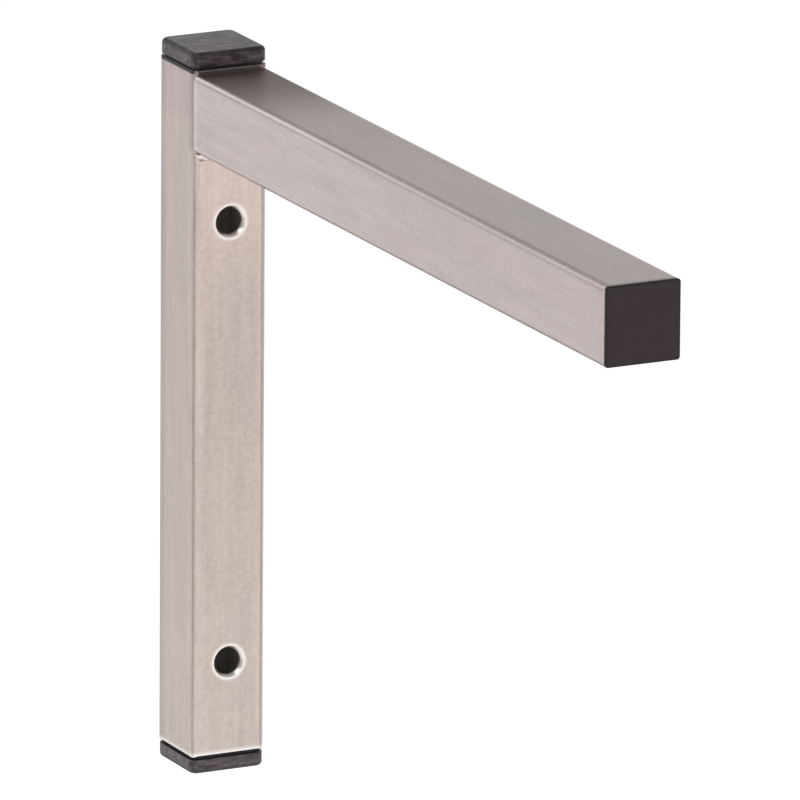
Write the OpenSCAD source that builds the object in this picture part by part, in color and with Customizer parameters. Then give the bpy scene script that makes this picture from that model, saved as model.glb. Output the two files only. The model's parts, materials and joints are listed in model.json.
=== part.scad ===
// Fixed shelf bracket: an upright of square stainless tube that bolts to a wall, an arm of the
// same tube welded square to its front, and black moulded inserts that close the open ends.
// Millimetres. The origin is midway between the two bolt holes, on the face that meets the wall.
// +Z is up, the wall lies towards +Y and the arm reaches out along -Y.

/* [Tube stock] */
// Outside width of the square tube
tube_side = 25; // [20:0.5:40]
// Wall thickness of the tube
tube_wall = 1.5; // [1:0.1:2.5]
// Outside corner radius of the tube
tube_corner_r = 2.25; // [1.5:0.25:4]
// Width of the chamfer left by deburring a cut end
cut_break = 0.4; // [0.1:0.1:0.8]

/* [Upright] */
// Length of the upright tube
upright_len = 218; // [205:1:400]
// Diameter of each bolt hole
hole_d = 8.5; // [5:0.5:12]
// Distance between the two bolt holes
hole_pitch = 140; // [80:1:145]
// Height of the lower hole above the tube's lower end
hole_rise = 29.5; // [24:0.5:40]
// Width of the chamfer on a hole's edge at the front
hole_break = 0.8; // [0.1:0.1:1]
// Width of the chamfer on a hole's edge at the wall
hole_back_break = 0.3; // [0.1:0.1:0.5]

/* [Arm] */
// Length of the arm tube from the upright's front face
arm_len = 275; // [120:1:500]
// Step from the upright's top end down to the top of the arm
arm_drop = 1; // [0.5:0.1:4]

/* [Weld] */
// Leg of the fillet bead under the arm
bead_leg = 2.6; // [1.5:0.1:4]
// Distance from one ripple of the bead to the next
bead_ripple = 1.6; // [1:0.1:2]
// How far the bead's centre line sits inside the corner, which flattens its face
bead_sink = 0.7; // [0.2:0.1:1.2]
// How far the ground side seams lie below the tube's side faces
seam_recess = 0.2; // [0.1:0.05:0.5]

/* [End caps] */
// Thickness of a cap's head above the tube's end
cap_head = 5.5; // [3:0.25:10]
// Corner radius of a cap's head, seen from its end
cap_corner_r = 2.75; // [1.75:0.25:4]
// Rounding along the outer rim of a cap's head
cap_rim_r = 1.5; // [0.5:0.1:1.6]
// Height of the shadow line between a cap's head and the tube
cap_gap = 0.9; // [0.2:0.1:1]
// How far the shadow line runs in under the head
cap_gap_depth = 0.9; // [0.2:0.1:1]

/* [Arm plug] */
// Thickness of the plug's flat head
plug_head = 1; // [0.8:0.1:3]
// Width of steel left showing round the plug's head
plug_rim = 0.3; // [0:0.1:1.3]
// Corner radius of the plug's head, seen from its end
plug_corner_r = 1; // [0.6:0.1:2.5]
// Rounding along the edge of the plug's head
plug_edge_r = 0.4; // [0.2:0.1:0.5]

/* [Insert skirts] */
// Depth of an insert's skirt inside the tube
skirt_depth = 14; // [10:0.5:18]
// Wall thickness of the hollow skirt
skirt_wall = 1.8; // [1.2:0.1:2.5]
// Reach of a gripping fin beyond the skirt's wall
fin_reach = 1.1; // [0.6:0.1:1.6]
// Thickness of a gripping fin
fin_thick = 0.8; // [0.5:0.1:1]
// Number of gripping fins along a skirt
fin_count = 4; // [2:1:5]
// Clearance between a fin's edge and the tube's inside
fin_gap = 0.1; // [0.05:0.05:0.3]

/* [Hidden] */
$fn = 96;

steel = [0.74, 0.71, 0.69];
weld_steel = [0.66, 0.63, 0.61];
black_plastic = [0.16, 0.15, 0.155];

// A cut runs this far past the faces that it passes through
overcut = 1;

half_side = tube_side / 2;
bore_side = tube_side - 2 * tube_wall;
bore_corner_r = max(tube_corner_r - tube_wall, 0.5);

hole_z = hole_pitch / 2;
upright_bottom = -hole_z - hole_rise;
upright_top = upright_bottom + upright_len;
upright_y = -half_side;
front_face = -tube_side;

arm_top = upright_top - arm_drop;
arm_bottom = arm_top - tube_side;
arm_z = arm_top - half_side;
arm_end = front_face - arm_len;

bead_r = sqrt(pow(bead_leg + bead_sink, 2) + pow(bead_sink, 2));
bead_run = tube_side - 2 * tube_corner_r - bead_leg;
ripple_count = max(2, round(bead_run / bead_ripple));
ripple_step = bead_run / ripple_count;

plug_side = tube_side - 2 * plug_rim;
fin_side = bore_side - 2 * fin_gap;
skirt_side = fin_side - 2 * fin_reach;
skirt_corner_r = bore_corner_r + fin_reach;
skirt_core = skirt_side - 2 * skirt_wall;
fin_step = (skirt_depth - fin_thick) / fin_count;

// Square of the given width with round corners, centred
module rounded_square(side, corner_r) {
    flat = side - 2 * corner_r;
    square([flat, side], center = true);
    square([side, flat], center = true);
    for (x = [-1, 1])
        for (y = [-1, 1])
            translate([x * flat / 2, y * flat / 2])
                circle(r = corner_r);
}

// Prism on a rounded square, standing on z = 0
module rounded_prism(side, corner_r, height) {
    linear_extrude(height)
        rounded_square(side, corner_r);
}

// Keeps of its children what lies inside a side profile seen both from the front and from the side
module trim_both_ways(side) {
    intersection() {
        children(0);
        profile_across(side)
            children(1);
        rotate([0, 0, 90])
            profile_across(side)
                children(1);
    }
}

// Stands a flat profile upright and carries it across the full width
module profile_across(side) {
    rotate([90, 0, 0])
        translate([0, 0, -side])
            linear_extrude(2 * side)
                children();
}

// Side profile with chamfers of the given widths at its lower and upper ends
module chamfered_profile(side, height, low, high) {
    half = side / 2;
    polygon([
        [-half + low, 0], [half - low, 0], [half, low], [half, height - high],
        [half - high, height], [-half + high, height], [-half, height - high], [-half, low],
    ]);
}

// Side profile with a round upper rim and a foot set in below the head
module headed_profile(side, height, rim_r, gap, gap_depth) {
    half = side / 2;
    translate([-half, gap])
        square([side, height - rim_r - gap]);
    translate([-half + gap_depth, 0])
        square([side - 2 * gap_depth, gap + rim_r]);
    translate([-half + rim_r, height - rim_r])
        square([side - 2 * rim_r, rim_r]);
    for (x = [-1, 1])
        translate([x * (half - rim_r), height - rim_r])
            circle(r = rim_r);
}

// Head on a rounded square, standing on z = 0, whose rim rolls round the corners too
module rolled_head(side, corner_r, height, rim_r, gap, gap_depth) {
    flat = side - 2 * corner_r;
    for (turn = [0, 90])
        rotate([90, 0, turn])
            translate([0, 0, -flat / 2])
                linear_extrude(flat)
                    headed_profile(side, height, rim_r, gap, gap_depth);
    for (x = [-1, 1])
        for (y = [-1, 1])
            translate([x * flat / 2, y * flat / 2, 0])
                rotate_extrude()
                    intersection() {
                        headed_profile(2 * corner_r, height, rim_r, gap, gap_depth);
                        square([corner_r, height]);
                    }
}

// Length of the square tube along +Z, with its cut ends deburred by the given widths
module square_tube(length, low_break, high_break) {
    difference() {
        trim_both_ways(tube_side) {
            rounded_prism(tube_side, tube_corner_r, length);
            chamfered_profile(tube_side, length, low_break, high_break);
        }
        translate([0, 0, -overcut])
            rounded_prism(bore_side, bore_corner_r, length + 2 * overcut);
    }
}

// Bolt hole through both walls of the upright, with its outer edges broken
module bolt_hole() {
    hole_r = hole_d / 2;
    rotate([90, 0, 0]) {
        translate([0, 0, -overcut])
            cylinder(h = tube_side + 2 * overcut, r = hole_r);
        cylinder(h = hole_back_break, r1 = hole_r + hole_back_break, r2 = hole_r);
        translate([0, 0, tube_side - hole_break])
            cylinder(h = hole_break, r1 = hole_r, r2 = hole_r + hole_break);
    }
}

module upright_tube() {
    color(steel)
        difference() {
            translate([0, upright_y, upright_bottom])
                square_tube(upright_len, cut_break, cut_break);
            for (z = [-hole_z, hole_z])
                translate([0, 0, z])
                    bolt_hole();
        }
}

// Turns what points along +Z to point out along the arm, about the arm's own centre line
module along_arm(y) {
    translate([0, y, arm_z])
        rotate([90, 0, 0])
            children();
}

module arm_tube() {
    color(steel)
        along_arm(front_face)
            square_tube(arm_len, 0, cut_break);
}

// Weld ground flush in the two grooves between the arm's sides and the upright's round corners
module side_seams() {
    seam_side = tube_side - 2 * seam_recess;
    difference() {
        along_arm(front_face + tube_corner_r)
            rounded_prism(seam_side, tube_corner_r, tube_corner_r);
        translate([0, upright_y, arm_bottom - overcut])
            rounded_prism(tube_side, tube_corner_r, tube_side + 2 * overcut);
    }
}

// Rippled fillet bead in the corner under the arm
module under_bead() {
    reach = 2 * bead_r;
    intersection() {
        translate([0, front_face + bead_sink, arm_bottom + bead_sink])
            rotate([0, 90, 0])
                rotate_extrude()
                    intersection() {
                        translate([0, -tube_side])
                            square([reach, 2 * tube_side]);
                        for (i = [0 : ripple_count])
                            translate([0, i * ripple_step - bead_run / 2])
                                circle(r = bead_r);
                    }
        translate([-tube_side, front_face - reach, arm_bottom - reach])
            cube([2 * tube_side, reach, reach]);
    }
}

module root_weld() {
    color(weld_steel) {
        side_seams();
        under_bead();
    }
}

// Hollow finned skirt that grips the inside of a tube, hanging below z = 0
module finned_skirt() {
    difference() {
        union() {
            translate([0, 0, -skirt_depth])
                rounded_prism(skirt_side, skirt_corner_r, skirt_depth);
            for (i = [1 : fin_count])
                translate([0, 0, -i * fin_step - fin_thick])
                    rounded_prism(fin_side, bore_corner_r, fin_thick);
        }
        translate([0, 0, -skirt_depth - overcut])
            rounded_prism(skirt_core, bore_corner_r, skirt_depth + overcut);
    }
}

// Insert with a head of the given size above z = 0 and its skirt below
module tube_insert(side, corner_r, head, rim_r, gap, gap_depth) {
    rolled_head(side, corner_r, head, rim_r, gap, gap_depth);
    finned_skirt();
}

module end_cap() {
    color(black_plastic)
        tube_insert(tube_side, cap_corner_r, cap_head, cap_rim_r, cap_gap, cap_gap_depth);
}

module top_cap() {
    translate([0, upright_y, upright_top])
        end_cap();
}

module bottom_cap() {
    translate([0, upright_y, upright_bottom])
        rotate([180, 0, 0])
            end_cap();
}

module arm_plug() {
    color(black_plastic)
        along_arm(arm_end)
            tube_insert(plug_side, plug_corner_r, plug_head, plug_edge_r, 0, 0);
}

upright_tube();
arm_tube();
root_weld();
top_cap();
bottom_cap();
arm_plug();
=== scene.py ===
import json
import math

import bmesh
import bpy
from mathutils import Matrix, Vector


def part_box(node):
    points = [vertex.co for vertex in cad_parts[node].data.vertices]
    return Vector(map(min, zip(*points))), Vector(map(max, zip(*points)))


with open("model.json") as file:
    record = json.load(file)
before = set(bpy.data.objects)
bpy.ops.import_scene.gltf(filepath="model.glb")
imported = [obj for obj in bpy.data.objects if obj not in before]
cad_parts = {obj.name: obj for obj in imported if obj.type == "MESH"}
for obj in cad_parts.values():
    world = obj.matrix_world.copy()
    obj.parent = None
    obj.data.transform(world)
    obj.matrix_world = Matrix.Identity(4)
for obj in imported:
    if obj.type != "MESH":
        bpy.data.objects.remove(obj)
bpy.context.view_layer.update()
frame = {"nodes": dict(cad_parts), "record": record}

mm = 0.001


def span(place, start, end):
    """The stretch from start to end, in millimetres past a place."""
    return place + start * mm, place + end * mm


# The camera of the photograph, in the part's own frame
CAMERA_AZIMUTH = math.radians(-26.348)
CAMERA_ELEVATION = math.radians(15.295)
CAMERA_ROLL = math.radians(0.409)
CAMERA_DISTANCE = 4.714
CAMERA_TARGET = Vector((0.021063, -0.100, 0.029724))
CAMERA_SENSOR = 36.0
CAMERA_LENS = 701.08
CAMERA_NEAREST = 0.05
CAMERA_FARTHEST = 60

# The stage and its light
FLOOR_LEVEL = -0.42
FLOOR_REACH = 16.0
FLOOR_COLOUR = (0.86, 0.86, 0.86, 1)
FLOOR_CLOUD = (0.84, 0.84, 0.84, 1)
FLOOR_CLOUDS_PER_METRE = (3, 3, 3)
FLOOR_FILL = 0.455
POOL_FILL = 0.14
POOL_FILL_FALL = (0.5, 2.1)
FRONT_FILL = 0.12
FRONT_FILL_RISE = (-0.2, 1.0)
SEEN_RAYS = ("Is Camera Ray", "Is Glossy Ray", "Is Transmission Ray")
HORIZON_LIGHT = 1.0
CEILING_LIGHT = 0.72
CEILING_RISE = (0.08, 0.42)
SCREEN_DISTANCE = 0.9
SCREEN_HEIGHT = 0.36
SCREEN_HALF = 1.0
FLOOR_SCREEN_LIFT = 0.01

# Places on the part
upright_low, upright_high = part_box("upright_tube")
arm_low, arm_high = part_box("arm_tube")
mounts = {mount["name"]: mount for mount in frame["record"]["mounts"]}
wall_bolts = mounts["wall_bolts"]["dims"]
HALF_TUBE = upright_high.x
UPRIGHT_FOOT = upright_low.z
UPRIGHT_TOP = upright_high.z
UPRIGHT_HALF_WAY = (UPRIGHT_FOOT + UPRIGHT_TOP) / 2
UPRIGHT_MIDDLE = (upright_low.y + upright_high.y) / 2
WALL_FACE = upright_high.y
ARM_UNDERSIDE = arm_low.z
ARM_TOP = arm_high.z
ARM_MIDDLE = (ARM_UNDERSIDE + ARM_TOP) / 2
ARM_ROOT = arm_high.y
HOLE_HEIGHT = wall_bolts["spacing_y_mm"] / 2 * mm
HOLE_RADIUS = wall_bolts["hole_r_mm"] * mm
TOP_CAP_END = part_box("top_cap")[1].z
BOTTOM_CAP_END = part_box("bottom_cap")[0].z
CAP_HEAD = TOP_CAP_END - UPRIGHT_TOP


class Wire:
    """An output socket of a finish. Sums and products of wires add their Math nodes."""

    def __init__(self, finish, socket):
        self.finish = finish
        self.socket = socket

    def maths(self, operation, first, second=0.0, clamp=False):
        """A Math node on one value or two."""
        settings = {"operation": operation, "use_clamp": clamp}
        return self.finish.node("ShaderNodeMath", settings, {0: first, 1: second})

    def __add__(self, other):
        return self.maths("ADD", self, other)

    def __sub__(self, other):
        return self.maths("SUBTRACT", self, other)

    def __rsub__(self, other):
        return self.maths("SUBTRACT", other, self)

    def __mul__(self, other):
        return self.maths("MULTIPLY", self, other)

    def __pow__(self, other):
        return self.maths("POWER", self, other)

    def __abs__(self):
        return self.maths("ABSOLUTE", self)

    __radd__ = __add__
    __rmul__ = __mul__

    def lesser(self, other):
        return self.maths("MINIMUM", self, other)

    def greater(self, other):
        return self.maths("MAXIMUM", self, other)

    def held(self):
        """This value, kept from 0 to 1."""
        return self.maths("ADD", self, 0.0, clamp=True)

    def rise(self, stretch):
        """0 up to the start of a stretch, 1 from its end on, and smooth between them."""
        start, end = stretch
        return self.finish.node(
            "ShaderNodeMapRange",
            {"interpolation_type": "SMOOTHSTEP"},
            {"Value": self, "From Min": start, "From Max": end},
        )

    def fall(self, stretch):
        """1 up to the start of a stretch, 0 from its end on, and smooth between them."""
        return 1 - self.rise(stretch)

    def between(self, up, down):
        """A rise along one stretch and a fall along a later one."""
        return self.rise(up) * self.fall(down)


class Finish:
    """A node tree that is written as expressions: a material's, or the world's."""

    def __init__(self, tree):
        self.tree = tree

    def node(self, kind, settings=None, inputs=None, output=0):
        """Adds a node: its settings first, then its sockets, by name or number, as values or wires."""
        made = self.tree.nodes.new(kind)
        for name, value in (settings or {}).items():
            setattr(made, name, value)
        for name, value in (inputs or {}).items():
            if isinstance(value, Wire):
                self.tree.links.new(value.socket, made.inputs[name])
            else:
                made.inputs[name].default_value = value
        return Wire(self, made.outputs[output]) if made.outputs else None

    def place(self):
        """Object coordinates: on the part and the floor, metres in the part's own frame."""
        return self.node("ShaderNodeTexCoord", output="Object")

    def axes(self):
        """The place as three wires."""
        place = self.place()
        return [self.node("ShaderNodeSeparateXYZ", inputs={0: place}, output=axis) for axis in "XYZ"]

    def noise(self, per_metre, detail=2.0, roughness=0.5, shift=(0, 0, 0)):
        """A noise with so many features in a metre along X, Y and Z, about 0.5 on average."""
        stretched = self.node(
            "ShaderNodeMapping",
            inputs={"Vector": self.place(), "Location": shift, "Scale": per_metre},
        )
        return self.node(
            "ShaderNodeTexNoise",
            inputs={"Vector": stretched, "Scale": 1.0, "Detail": detail, "Roughness": roughness},
        )

    def mix(self, share, first, second):
        """The first colour at a share of 0, the second at 1."""
        return self.node(
            "ShaderNodeMix",
            {"data_type": "RGBA", "blend_type": "MIX"},
            {0: share, 6: first, 7: second},
            output=2,
        )

    def tinted(self, colour, factor):
        """The colour times a value, the same in all three channels."""
        return self.node("ShaderNodeVectorMath", {"operation": "SCALE"}, {0: colour, "Scale": factor})

    def bump(self, height, distance):
        """A normal from a relief, whose heights of 0 and 1 lie so far apart."""
        return self.node(
            "ShaderNodeBump", inputs={"Height": height, "Distance": distance, "Strength": 1.0}
        )


def new_finish(name):
    """A new material, with its node tree as a finish."""
    material = bpy.data.materials.new(name)
    material.use_nodes = True
    finish = Finish(material.node_tree)
    finish.material = material
    return finish


def stage_finish(name):
    """A finish whose node tree is still empty, for what belongs to the stage."""
    finish = new_finish(name)
    finish.tree.nodes.clear()
    return finish


def part_finish(name, **constants):
    """A finish with one Principled shader, whose constant sockets are set at once."""
    finish = new_finish(name)
    finish.shader = finish.tree.nodes["Principled BSDF"]
    for socket, value in constants.items():
        finish.shader.inputs[socket.replace("_", " ")].default_value = value
    return finish


def feed(finish, **wires):
    """Links wires to the shader's sockets."""
    for socket, wire in wires.items():
        finish.tree.links.new(wire.socket, finish.shader.inputs[socket.replace("_", " ")])


# Satin steel: ground along the tube, warm in tone, faintly mottled
# The bright metal tone of the painted highlights on the upright's hole rings and lower end, and of the
# arm's brighter strip by the weld
BRIGHT_EDGE_TONE = (0.80, 0.765, 0.74, 1)
TUBE_INSIDE = (0.62, 0.58, 0.55, 1)
INSIDE_DULLNESS = 0.4
BORE_FALL = span(HALF_TUBE, -1.4, -0.9)
GLEAM_RISE = span(HALF_TUBE, -4.5, -2.3)
GLEAM_FALL = span(HALF_TUBE, -1.7, -0.5)

# Features in a metre along the tube and across it
HAIRLINE = (45, 1500)
BRUSH_BAND = (22, 330)
TONE_DRIFT = (16, 120)
MOTTLE = (70, 300)
SPECK = (900, 900)
DRIFT_SHIFT = (3, 7, 1)
DRIFT_RISE = (0.34, 0.66)

# What the patterns add to the steel's lightness, roughness and relief
LEAST_LIGHTNESS = 0.54
HAIRLINE_LIGHT = 0.24
BAND_LIGHT = 0.20
MOTTLE_LIGHT = 0.18
SPECK_LIGHT = 0.30
HAIRLINE_DULLNESS = 0.12
MOTTLE_DULLNESS = 0.06
BAND_RELIEF = 0.5
GRAIN_DEPTH = 0.018 * mm


def lengthwise(grain_axis, along_and_across):
    """Features in a metre for a pattern that is drawn out along one axis."""
    along, across = along_and_across
    return tuple(along if axis == grain_axis else across for axis in "XYZ")


def satin_steel(name, grain_axis, tones, roughness):
    """Ground tube: hairlines and broader bands along its length, a mottle, specks and a drift of tone."""
    steel = part_finish(name)
    hairline = steel.noise(lengthwise(grain_axis, HAIRLINE), detail=3.0, roughness=0.62)
    band = steel.noise(lengthwise(grain_axis, BRUSH_BAND))
    drift = steel.noise(lengthwise(grain_axis, TONE_DRIFT), shift=DRIFT_SHIFT)
    mottle = steel.noise(lengthwise(grain_axis, MOTTLE))
    speck = steel.noise(lengthwise(grain_axis, SPECK))
    steel.tone = steel.mix(drift.rise(DRIFT_RISE), *tones)
    grain_light = LEAST_LIGHTNESS + HAIRLINE_LIGHT * hairline + BAND_LIGHT * band
    steel.lightness = grain_light + MOTTLE_LIGHT * mottle + SPECK_LIGHT * speck
    steel.roughness = roughness + HAIRLINE_DULLNESS * hairline + MOTTLE_DULLNESS * mottle
    steel.relief = steel.bump(hairline + BAND_RELIEF * band, GRAIN_DEPTH)
    return steel


def finish_steel(steel, brightened, inside):
    """Feeds the shader: bright metal where brightened is 1, which is painted highlight on the upright's
    hole rings and lower end and a brighter strip by the weld on the arm, and dull mill scale where inside
    is 1.
    """
    brushed = steel.tinted(steel.tone, steel.lightness)
    outer = steel.mix(brightened.held(), brushed, BRIGHT_EDGE_TONE)
    feed(
        steel,
        Base_Color=steel.mix(inside, outer, TUBE_INSIDE),
        Metallic=1 - inside,
        Roughness=steel.roughness + INSIDE_DULLNESS * inside,
        Normal=steel.relief,
    )
    return steel.material


def within_bore(first, second):
    """1 on the inside of a tube, from the two distances to its centre line."""
    return abs(first).fall(BORE_FALL) * abs(second).fall(BORE_FALL)


def beside_corner(across):
    """1 along a face's long borders, just inside the round corners, from the place across the face."""
    return abs(across).between(GLEAM_RISE, GLEAM_FALL)


# The upright: its holes and lower end with painted highlights, painted shade under the cap and by the
# weld, the weld's heat bloom and a paler patch below the arm
UPRIGHT_TONES = ((0.462, 0.394, 0.359, 1), (0.446, 0.387, 0.359, 1))
UPRIGHT_ROUGHNESS = 0.17
HOLE_WALL = (0.42, 0.365, 0.34, 1)
HOLE_WALL_FALL = span(HOLE_RADIUS, 0.05, 0.45)
# Painted highlights: a bright ring round each bolt hole and a bright band along the upright's lower end
HOLE_RING_RISE = span(HOLE_RADIUS, 0.05, 0.75)
HOLE_RING_FALL = span(HOLE_RADIUS, 0.85, 2.25)
HOLE_RING_HIGHLIGHT = 0.8
LOWER_END_FALL = span(UPRIGHT_FOOT, 0.4, 2.0)
LOWER_END_HIGHLIGHT = 0.8
CAP_SHADOW = (0.022, 0.018, 0.017, 1)
CAP_SHADOW_RISE = span(UPRIGHT_TOP, -1.3, -0.8)
CAP_SHADOW_LOST_ON_FRONT = 0.55
FRONT_FALL = span(ARM_ROOT, 0.4, 1.5)
FRONT_FLAT_FALL = span(HALF_TUBE, -3.0, -1.0)
# A paler, warmer patch on the front face just below the arm
PALE_PATCH_TONE = (0.550, 0.447, 0.414, 1)
PALE_PATCH_RISE = span(0, -1, 4)
PALE_PATCH_FALL = span(0, 10, 60)
PALE_PATCH_SHARE = 0.9
HEAT_BLOOM = (0.430, 0.356, 0.359, 1)
HEAT_BLOOM_RISE = span(ARM_MIDDLE, -7, 3)
GLEAM_LIGHT = 0.06
WALL_SIDE_RISE = span(WALL_FACE, -6.5, -3.5)
WALL_SIDE_SHADE = 0.13
SEAM_SIDE_FALL = span(ARM_ROOT, 2.4, 4.2)
SEAM_FOOT_FALL = span(0, -2, 0)
SEAM_SHADE = 0.2
END_RISE = span(0, 30, 95)
END_LIGHT = 0.04


def upright_steel():
    """Grain up and down, painted highlights on the hole rings and the lower end, a painted shadow line
    under the cap, and by the weld a heat bloom, a paler patch below the arm and a shaded seam."""
    steel = satin_steel("upright steel", "Z", UPRIGHT_TONES, UPRIGHT_ROUGHNESS)
    x, y, z = steel.axes()
    from_middle = y - UPRIGHT_MIDDLE
    from_hole = (x * x + (abs(z) - HOLE_HEIGHT) ** 2) ** 0.5
    below_arm = ARM_UNDERSIDE - z
    on_front = y.fall(FRONT_FALL)
    by_wall = y.rise(WALL_SIDE_RISE)

    # The paler, warmer patch on the front face just below the arm
    ground = below_arm.between(PALE_PATCH_RISE, PALE_PATCH_FALL) * on_front * abs(x).fall(FRONT_FLAT_FALL)
    under_cap = z.rise(CAP_SHADOW_RISE) * (1 - CAP_SHADOW_LOST_ON_FRONT * on_front)
    steel.tone = steel.mix(z.rise(HEAT_BLOOM_RISE), steel.tone, HEAT_BLOOM)
    steel.tone = steel.mix(PALE_PATCH_SHARE * ground, steel.tone, PALE_PATCH_TONE)
    steel.tone = steel.mix(under_cap, steel.tone, CAP_SHADOW)
    steel.tone = steel.mix(from_hole.fall(HOLE_WALL_FALL), steel.tone, HOLE_WALL)

    gleam = beside_corner(x) + beside_corner(from_middle) * (1 - by_wall)
    by_seam = y.fall(SEAM_SIDE_FALL) * below_arm.fall(SEAM_FOOT_FALL)
    towards_end = abs(z - UPRIGHT_HALF_WAY).rise(END_RISE)
    lit = GLEAM_LIGHT * gleam + END_LIGHT * towards_end
    shaded = WALL_SIDE_SHADE * by_wall + SEAM_SHADE * by_seam
    steel.lightness = steel.lightness * (1 + lit - shaded)

    # Painted highlights on the hole rings and the lower end
    hole_ring = HOLE_RING_HIGHLIGHT * from_hole.between(HOLE_RING_RISE, HOLE_RING_FALL)
    lower_end = LOWER_END_HIGHLIGHT * z.fall(LOWER_END_FALL)
    return finish_steel(steel, hole_ring + lower_end, within_bore(x, from_middle))


# The arm: its top, its root, the tint that the weld's heat left, and painted shade on its top
ARM_TONES = ((0.508, 0.438, 0.424, 1), (0.494, 0.434, 0.426, 1))
ARM_ROUGHNESS = 0.27
ARM_TOP_RISE = span(ARM_TOP, -0.6, -0.1)
ARM_TOP_SHADE = 0.03
NEAR_ROOT_RISE = span(ARM_ROOT, -160, -50)
SMOOTHING = 0.10
ROOT_STRIP_RISE = span(ARM_ROOT, -3.0, -1.2)
ROOT_STRIP_POLISH = 0.22
HEAT_TINT = (0.485, 0.372, 0.330, 1)
WARMED_TINT = 0.5
# Painted shade on the arm's top, growing towards the root, with a painted dark reflection of the cap; the
# heat tint under it is the weld's own colour
NEAR_ROOT_PAINTED_SHADE = 0.05
ROOT_TINT_AND_SHADE_RISE = span(ARM_ROOT, -75, -12)
ROOT_PAINTED_SHADE = 0.49
SCORCHED_DULLNESS = 0.20


def arm_steel():
    """Grain along the arm, smoother on top and towards the root, with a brighter strip on its sides by
    the weld, a little painted shade on its top, and near the root a brown heat tint under painted shade
    and a painted dark reflection of the cap."""
    steel = satin_steel("arm steel", "Y", ARM_TONES, ARM_ROUGHNESS)
    x, y, z = steel.axes()
    on_top = z.rise(ARM_TOP_RISE)
    near_root = y.rise(NEAR_ROOT_RISE)
    near_root_tint_and_shade = on_top * near_root
    root_tint_and_shade = on_top * y.rise(ROOT_TINT_AND_SHADE_RISE)
    # Painted shade: the top a little darker all along, and much darker by the root, over the weld's heat
    # tint
    shaded = ARM_TOP_SHADE * on_top + NEAR_ROOT_PAINTED_SHADE * near_root_tint_and_shade + ROOT_PAINTED_SHADE * root_tint_and_shade
    steel.tone = steel.mix(root_tint_and_shade.greater(WARMED_TINT * near_root_tint_and_shade), steel.tone, HEAT_TINT)
    steel.lightness = steel.lightness * (1 - shaded)
    smoothed = SMOOTHING * on_top.greater(near_root)
    steel.roughness = steel.roughness - smoothed + SCORCHED_DULLNESS * root_tint_and_shade
    root_strip = ROOT_STRIP_POLISH * y.rise(ROOT_STRIP_RISE) * (1 - on_top)
    return finish_steel(steel, root_strip, within_bore(x, z - ARM_MIDDLE))


# The weld: a bead under the arm and ground seams on its sides
WELD_TONE = (0.66, 0.60, 0.56, 1)
WELD_OXIDE = (0.16, 0.115, 0.09, 1)
SEAM_TONE = (0.33, 0.284, 0.268, 1)
SEAM_TONE_RISE = span(ARM_UNDERSIDE, 0.3, 1.2)
WELD_PATCH = (420, 420, 420)
WELD_GRIT = (1500, 1500, 1500)
OXIDE_RISE = (0.5, 0.66)
OXIDE_SHARE = 0.85
WELD_ROUGHNESS = 0.2
PATCH_DULLNESS = 0.2
GRIT_RELIEF = 0.4
WELD_DEPTH = 0.15 * mm


def weld_steel():
    """The weld: bright metal with patches of brown oxide on the bead, and greyer ground side seams."""
    weld = part_finish("weld steel", Metallic=1.0)
    patches = weld.noise(WELD_PATCH, detail=3.0)
    grit = weld.noise(WELD_GRIT)
    bead_tone = weld.mix(OXIDE_SHARE * patches.rise(OXIDE_RISE), WELD_TONE, WELD_OXIDE)
    height = weld.axes()[2]
    feed(
        weld,
        Base_Color=weld.mix(height.rise(SEAM_TONE_RISE), bead_tone, SEAM_TONE),
        Roughness=WELD_ROUGHNESS + PATCH_DULLNESS * patches,
        Normal=weld.bump(patches + GRIT_RELIEF * grit, WELD_DEPTH),
    )
    return weld.material


# The inserts' black plastic
PLASTIC_TONE = (0.030, 0.0180, 0.0215, 1)
PLASTIC_SCUFF = (0.150, 0.125, 0.135, 1)
# Painted shade for the caps' and plug's edges and the caps' gap
PLASTIC_EDGE_SHADE = (0.012, 0.010, 0.011, 1)
PEBBLE = (1300, 1300, 1300)
GLOSS_CLOUD = (180, 180, 180)
PLASTIC_ROUGHNESS = 0.22
CLOUD_DULLNESS = 0.14
PEBBLE_DULLNESS = 0.06
PEBBLE_DEPTH = 0.05 * mm
CAP_GLOSS = 0.3
CAP_GAP = 0.9 * mm
CAP_GAP_FALL = span(CAP_HEAD - CAP_GAP, -0.2, 0)
CAP_EDGE_RISE = span(0, 0.3, 1.6)
SCUFF = (190, 720, 820)
SCUFF_FULL = 0.72
PLUG_GLOSS = 0.25
PLUG_BORDER_RISE = span(0, 0.5, 1.4)


def black_plastic(name, gloss):
    """Moulded plastic with a fine pebble and a cloudy gloss."""
    plastic = part_finish(name, Base_Color=PLASTIC_TONE, Metallic=0.0, Specular_IOR_Level=gloss)
    pebble = plastic.noise(PEBBLE)
    cloud = plastic.noise(GLOSS_CLOUD, detail=3.0)
    feed(
        plastic,
        Roughness=PLASTIC_ROUGHNESS + CLOUD_DULLNESS * cloud + PEBBLE_DULLNESS * pebble,
        Normal=plastic.bump(pebble + cloud, PEBBLE_DEPTH),
    )
    return plastic


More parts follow.
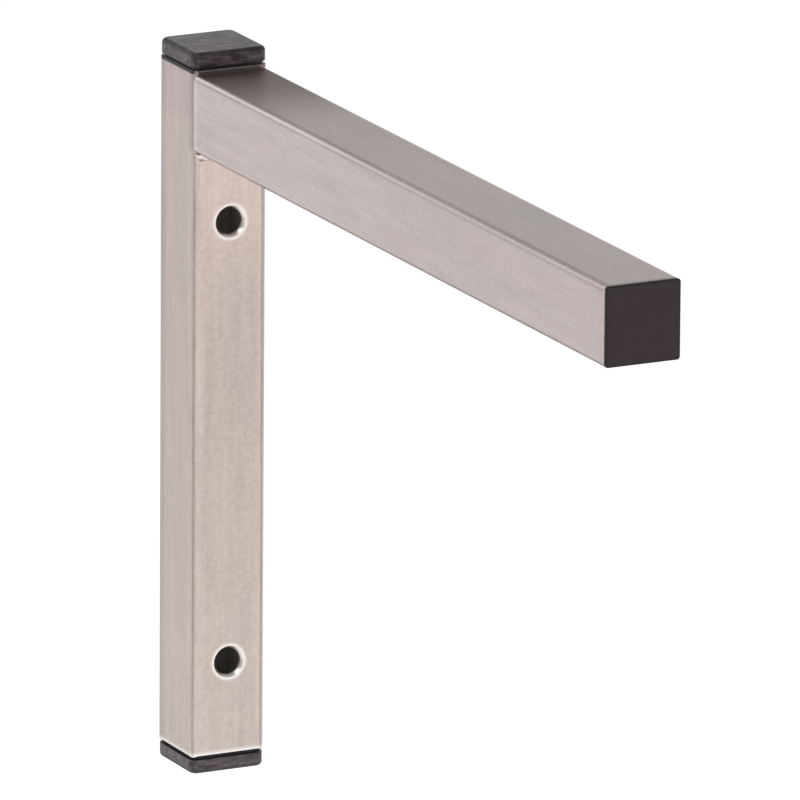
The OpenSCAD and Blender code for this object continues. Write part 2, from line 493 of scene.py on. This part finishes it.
def cap_plastic(node, outer_end, outward, scuffs_start):
    """A cap's plastic: pale scuffs drawn out sideways on its flats, with painted shade along its edges
    and in its gap.
    """
    plastic = black_plastic(node + " plastic", CAP_GLOSS)
    x, y, z = plastic.axes()
    from_side = HALF_TUBE - abs(x)
    from_face = HALF_TUBE - abs(y - UPRIGHT_MIDDLE)
    from_end = (outer_end - z) * outward
    # By an edge two of these distances are small, so the second smallest tells how far off it is
    nearer = from_side.lesser(from_face)
    farther = from_side.greater(from_face)
    from_edge = nearer.greater(farther.lesser(from_end))
    on_flat = from_edge.rise(CAP_EDGE_RISE) * from_end.fall(CAP_GAP_FALL)
    scuffs = plastic.noise(SCUFF, detail=4.0, roughness=0.65)
    worn = plastic.mix(scuffs.rise((scuffs_start, SCUFF_FULL)), PLASTIC_TONE, PLASTIC_SCUFF)
    # Painted shade along the cap's edges and in its gap; pale scuffs on its flats
    feed(plastic, Base_Color=plastic.mix(on_flat, PLASTIC_EDGE_SHADE, worn))
    return plastic.material


def plug_plastic():
    """The arm plug's plastic: painted shade along the border of its head."""
    plastic = black_plastic("arm_plug plastic", PLUG_GLOSS)
    x, _, z = plastic.axes()
    from_border = (HALF_TUBE - abs(x)).lesser(HALF_TUBE - abs(z - ARM_MIDDLE))
    on_face = from_border.rise(PLUG_BORDER_RISE)
    # Painted shade along the border of the head
    feed(plastic, Base_Color=plastic.mix(on_face, PLASTIC_EDGE_SHADE, PLASTIC_TONE))
    return plastic.material


def dress(node, material):
    """Gives a CAD node its finish in the slot that it has."""
    frame["nodes"][node].data.materials[0] = material


dress("upright_tube", upright_steel())
dress("arm_tube", arm_steel())
dress("root_weld", weld_steel())
dress("top_cap", cap_plastic("top_cap", TOP_CAP_END, outward=1, scuffs_start=0.39))
dress("bottom_cap", cap_plastic("bottom_cap", BOTTOM_CAP_END, outward=-1, scuffs_start=0.28))
dress("arm_plug", plug_plastic())


def floor_finish():
    """White to the camera and in reflections, with the part's shadow, and clear from below."""
    paper = stage_finish("studio floor")
    camera, glossy, through = (paper.node("ShaderNodeLightPath", output=ray) for ray in SEEN_RAYS)
    seen = (camera + glossy + through).held()
    cloud = paper.noise(FLOOR_CLOUDS_PER_METRE, detail=1.0)
    tone = paper.mix(cloud, FLOOR_COLOUR, FLOOR_CLOUD)
    sheet = paper.node("ShaderNodeBsdfDiffuse", inputs={"Color": tone})
    x, y, _ = paper.axes()
    pool = ((x * x + y * y) ** 0.5).fall(POOL_FILL_FALL)
    front = (0 - y).rise(FRONT_FILL_RISE)
    level = FLOOR_FILL + POOL_FILL * pool + FRONT_FILL * front
    fill = paper.node("ShaderNodeEmission", inputs={"Strength": seen * level})
    lit = paper.node("ShaderNodeAddShader", inputs={0: sheet, 1: fill})
    clear = paper.node("ShaderNodeBsdfTransparent")
    below = paper.node("ShaderNodeNewGeometry", output="Backfacing")
    both = paper.node("ShaderNodeMixShader", inputs={0: below, 1: lit, 2: clear})
    paper.node("ShaderNodeOutputMaterial", inputs={"Surface": both})
    return paper.material


def flat_sheet(name, half_width, level, material):
    """A flat square that lies level above or below the origin, put into the scene."""
    square = bmesh.new()
    bmesh.ops.create_grid(square, x_segments=1, y_segments=1, size=half_width)
    bmesh.ops.translate(square, verts=square.verts, vec=(0, 0, level))
    mesh = bpy.data.meshes.new(name)
    square.to_mesh(mesh)
    square.free()
    mesh.materials.append(material)
    sheet = bpy.data.objects.new(name, mesh)
    bpy.context.scene.collection.objects.link(sheet)
    return sheet


def lay_floor():
    """A wide flat sheet some way below the part, which is fixed to a wall in use."""
    floor = flat_sheet("studio_floor", FLOOR_REACH, FLOOR_LEVEL, floor_finish())


def light_room():
    """A room that is white up to the horizon and greyer overhead, for every kind of ray."""
    world = bpy.data.worlds.new("studio")
    world.use_nodes = True
    room = Finish(world.node_tree)
    room.tree.nodes.clear()
    direction = room.node("ShaderNodeTexCoord", output="Generated")
    up = room.node("ShaderNodeSeparateXYZ", inputs={0: direction}, output="Z")
    strength = HORIZON_LIGHT + up.rise(CEILING_RISE) * (CEILING_LIGHT - HORIZON_LIGHT)
    sky = room.node("ShaderNodeBackground", inputs={"Strength": strength})
    room.node("ShaderNodeOutputWorld", inputs={"Surface": sky})
    bpy.context.scene.world = world


def stretched(width, depth):
    """The scale that gives a screen its width and depth."""
    return Matrix.Diagonal((width / 2 / SCREEN_HALF, depth / 2 / SCREEN_HALF, 1, 1))


def standing(azimuth, width):
    """The place of a screen that stands on the floor and faces the part from one side."""
    turn = Matrix.Rotation(math.radians(azimuth), 4, "Z")
    stand = Matrix.Translation((0, -SCREEN_DISTANCE, FLOOR_LEVEL + SCREEN_HEIGHT / 2))
    raised = Matrix.Rotation(math.radians(90), 4, "X")
    return turn @ stand @ raised @ stretched(width, SCREEN_HEIGHT)


def lying(azimuth, distance, width, depth):
    """The place of a screen that lies on the floor to one side of the part."""
    turn = Matrix.Rotation(math.radians(azimuth), 4, "Z")
    lie = Matrix.Translation((0, -distance, FLOOR_LEVEL + FLOOR_SCREEN_LIFT))
    return turn @ lie @ stretched(width, depth)


def hang_screen(name, place, middle, edge):
    """A sheet that darkens to its middle, seen only in reflections, where it draws the steel's edges."""
    cloth = stage_finish(name)
    across = cloth.axes()[0]
    glow = middle + (edge - middle) * abs(across).rise((0, SCREEN_HALF))
    surface = cloth.node("ShaderNodeEmission", inputs={"Strength": glow})
    cloth.node("ShaderNodeOutputMaterial", inputs={"Surface": surface})
    screen = flat_sheet(name, SCREEN_HALF, 0, cloth.material)
    screen.matrix_world = place
    screen.visible_camera = False
    screen.visible_diffuse = False
    screen.visible_shadow = False


def hang_lamp(name, place, size, power):
    """A soft square lamp that faces the middle of the part."""
    lamp = bpy.data.lights.new(name, "AREA")
    lamp.shape = "SQUARE"
    lamp.size = size
    lamp.energy = power
    holder = bpy.data.objects.new(name, lamp)
    holder.location = place
    toward = CAMERA_TARGET - Vector(place)
    holder.rotation_mode = "QUATERNION"
    holder.rotation_quaternion = toward.to_track_quat("-Z", "Y")
    holder.visible_camera = False
    bpy.context.scene.collection.objects.link(holder)


def set_camera():
    """The photograph's own viewpoint: a long lens, a little above the arm."""
    azimuth, elevation, roll = CAMERA_AZIMUTH, CAMERA_ELEVATION, CAMERA_ROLL
    back = Vector(
        (
            math.sin(azimuth) * math.cos(elevation),
            -math.cos(azimuth) * math.cos(elevation),
            math.sin(elevation),
        )
    )
    level = Vector((math.cos(azimuth), math.sin(azimuth), 0))
    upward = back.cross(level)
    right = level * math.cos(roll) + upward * math.sin(roll)
    up = upward * math.cos(roll) - level * math.sin(roll)
    lens = bpy.data.cameras.new("camera")
    lens.sensor_fit = "AUTO"
    lens.sensor_width = CAMERA_SENSOR
    lens.lens = CAMERA_LENS
    lens.clip_start = CAMERA_NEAREST
    lens.clip_end = CAMERA_FARTHEST
    camera = bpy.data.objects.new("camera", lens)
    turn = Matrix((right, up, back)).transposed()
    camera.matrix_world = Matrix.Translation(CAMERA_TARGET + back * CAMERA_DISTANCE) @ turn.to_4x4()
    bpy.context.scene.collection.objects.link(camera)
    bpy.context.scene.camera = camera


lay_floor()
light_room()
hang_screen("front_screen", standing(azimuth=-72, width=1.3), middle=0.72, edge=1.25)
hang_screen("side_screen", standing(azimuth=60, width=0.8), middle=0.7, edge=1.1)
hang_screen("back_screen", lying(azimuth=156, distance=3.2, width=1.5, depth=5.9), middle=0.1, edge=1.0)
hang_lamp("key_lamp", place=(-1.3, -1.7, 1.9), size=1.3, power=16)
hang_lamp("fill_lamp", place=(1.8, -1.3, 1.3), size=1.2, power=6)
hang_lamp("edge_lamp", place=(-0.95, 2.0, 1.0), size=0.9, power=2.2)
set_camera()
bpy.context.scene.view_settings.view_transform = "Standard"
